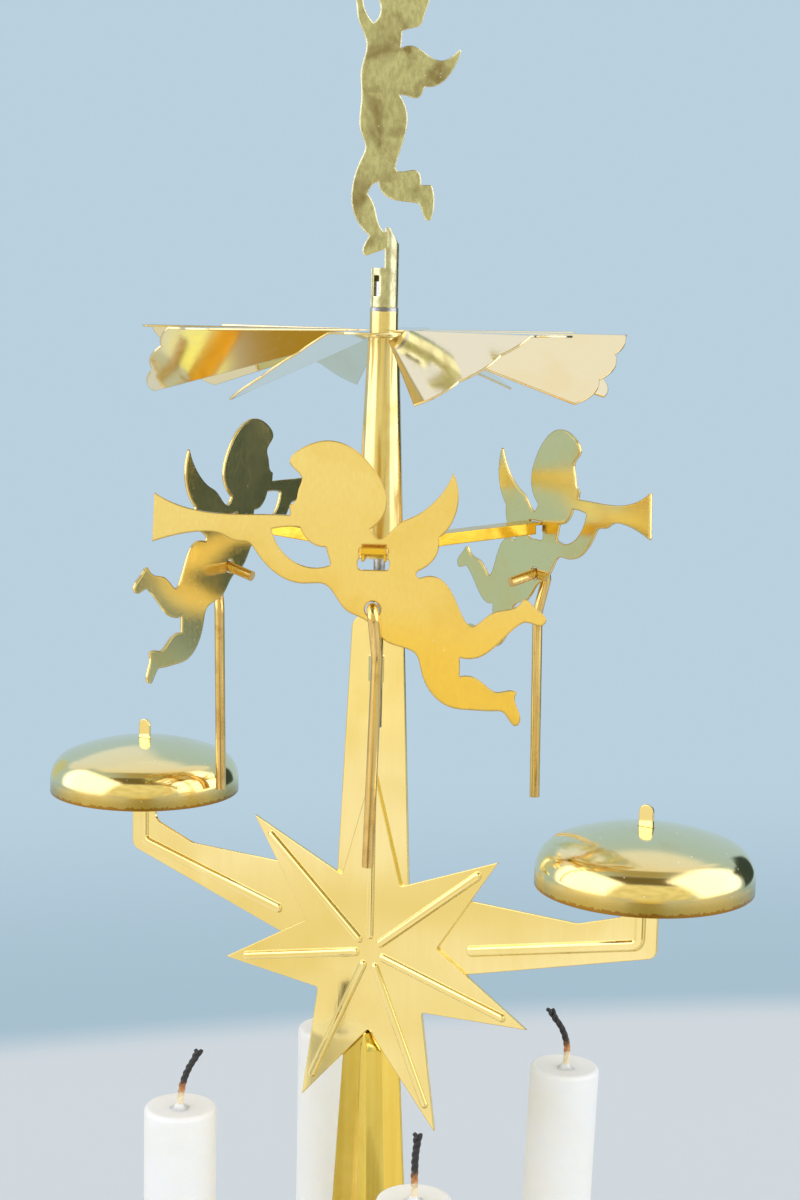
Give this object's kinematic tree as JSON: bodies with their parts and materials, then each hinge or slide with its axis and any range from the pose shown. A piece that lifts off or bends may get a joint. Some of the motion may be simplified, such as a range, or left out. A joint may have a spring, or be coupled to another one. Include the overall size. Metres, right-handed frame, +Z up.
{
  "type": "angel chime carousel",
  "caption": "Brass candle-driven chime: round base with candle cups, star on a stem, bells on side arms, and a bladed fan that carries hanging trumpet angels with striker wires.",
  "frame": {"origin": "centre of the base's foot on the table", "axes": "+Z up along the needle, the star faces -Y, the bell arms lie along X"},
  "size_m": [0.1426, 0.116, 0.3142],
  "materials": {
    "stand_brass": "satin pale gold lacquered sheet",
    "base_brass": "satin pressed sheet",
    "bell_brass": "polished",
    "tube_brass": "satin rolled sheet",
    "fan_brass": "bright thin sheet",
    "angel_brass": "satin rolled sheet with fine grain",
    "top_brass": "satin with cloudy patina",
    "wire_brass": "drawn wire",
    "steel": "drawn steel",
    "wax": "smooth wax",
    "wick": "charred cotton"
  },
  "bodies": {
    "stand": {"base_plate": "base_brass", "stem": "stand_brass", "cross_plate": "stand_brass", "star": "stand_brass", "needle": "steel", "cup_rivets": "base_brass", "candle_cup_1": "base_brass", "candle_cup_2": "base_brass", "candle_cup_3": "base_brass", "candle_cup_4": "base_brass"},
    "rotor": {"rotor_tube": "tube_brass", "bearing_cup": "steel", "fan_wheel": "fan_brass", "angel_carrier": "tube_brass", "top_angel": "top_brass"},
    "right_bell": {"bell_right": "bell_brass"},
    "left_bell": {"bell_left": "bell_brass"},
    "hanging_angel_1": {"angel_1": "angel_brass"},
    "striker_wire_1": {"striker_1": "wire_brass"},
    "hanging_angel_2": {"angel_2": "angel_brass"},
    "striker_wire_2": {"striker_2": "wire_brass"},
    "hanging_angel_3": {"angel_3": "angel_brass"},
    "striker_wire_3": {"striker_3": "wire_brass"},
    "candle_body_1": {"candle_1": "wax", "wick_1": "wick"},
    "candle_body_2": {"candle_2": "wax", "wick_2": "wick"},
    "candle_body_3": {"candle_3": "wax", "wick_3": "wick"},
    "candle_body_4": {"candle_4": "wax", "wick_4": "wick"}
  },
  "joints": [
    {"name": "rotor_spin", "type": "hinge", "parent": "stand", "child": "rotor", "pos_m": [0, 0, 0.2433], "axis": [0, 0, 1], "continuous": true},
    {"name": "right_bell_rock", "type": "hinge", "parent": "stand", "child": "right_bell", "pos_m": [0.0534, 0, 0.16185], "axis": [1, 0, 0], "range_deg": [-4, 4]},
    {"name": "left_bell_rock", "type": "hinge", "parent": "stand", "child": "left_bell", "pos_m": [-0.0534, 0, 0.16185], "axis": [1, 0, 0], "range_deg": [-4, 4]},
    {"name": "angel_1_swing", "type": "hinge", "parent": "rotor", "child": "hanging_angel_1", "pos_m": [0.0174, -0.0271, 0.20765], "axis": [0.8415, 0.5402, 0], "range_deg": [-1.2, 10]},
    {"name": "striker_1_swing", "type": "hinge", "parent": "hanging_angel_1", "child": "striker_wire_1", "pos_m": [0.0174, -0.0271, 0.198], "axis": [0.5402, -0.8415, 0], "range_deg": [-30, 30]},
    {"name": "angel_2_swing", "type": "hinge", "parent": "rotor", "child": "hanging_angel_2", "pos_m": [0.01477, 0.02861, 0.20765], "axis": [-0.8886, 0.4587, 0], "range_deg": [-1.2, 10]},
    {"name": "striker_2_swing", "type": "hinge", "parent": "hanging_angel_2", "child": "striker_wire_2", "pos_m": [0.01477, 0.02861, 0.198], "axis": [0.4587, 0.8886, 0], "range_deg": [-30, 30]},
    {"name": "angel_3_swing", "type": "hinge", "parent": "rotor", "child": "hanging_angel_3", "pos_m": [-0.03216, -0.00152, 0.20765], "axis": [0.0471, -0.9989, 0], "range_deg": [-1.2, 10]},
    {"name": "striker_3_swing", "type": "hinge", "parent": "hanging_angel_3", "child": "striker_wire_3", "pos_m": [-0.03216, -0.00152, 0.198], "axis": [-0.9989, -0.0471, 0], "range_deg": [-30, 30]},
    {"name": "candle_1_lift", "type": "slide", "parent": "stand", "child": "candle_body_1", "axis": [0.0197, 0.0197, 0.9996], "range_m": [0, 0.018]},
    {"name": "candle_2_lift", "type": "slide", "parent": "stand", "child": "candle_body_2", "axis": [0, 0, 1], "range_m": [0, 0.018]},
    {"name": "candle_3_lift", "type": "slide", "parent": "stand", "child": "candle_body_3", "axis": [0, 0, 1], "range_m": [0, 0.018]},
    {"name": "candle_4_lift", "type": "slide", "parent": "stand", "child": "candle_body_4", "axis": [0, 0, 1], "range_m": [0, 0.018]}
  ]
}
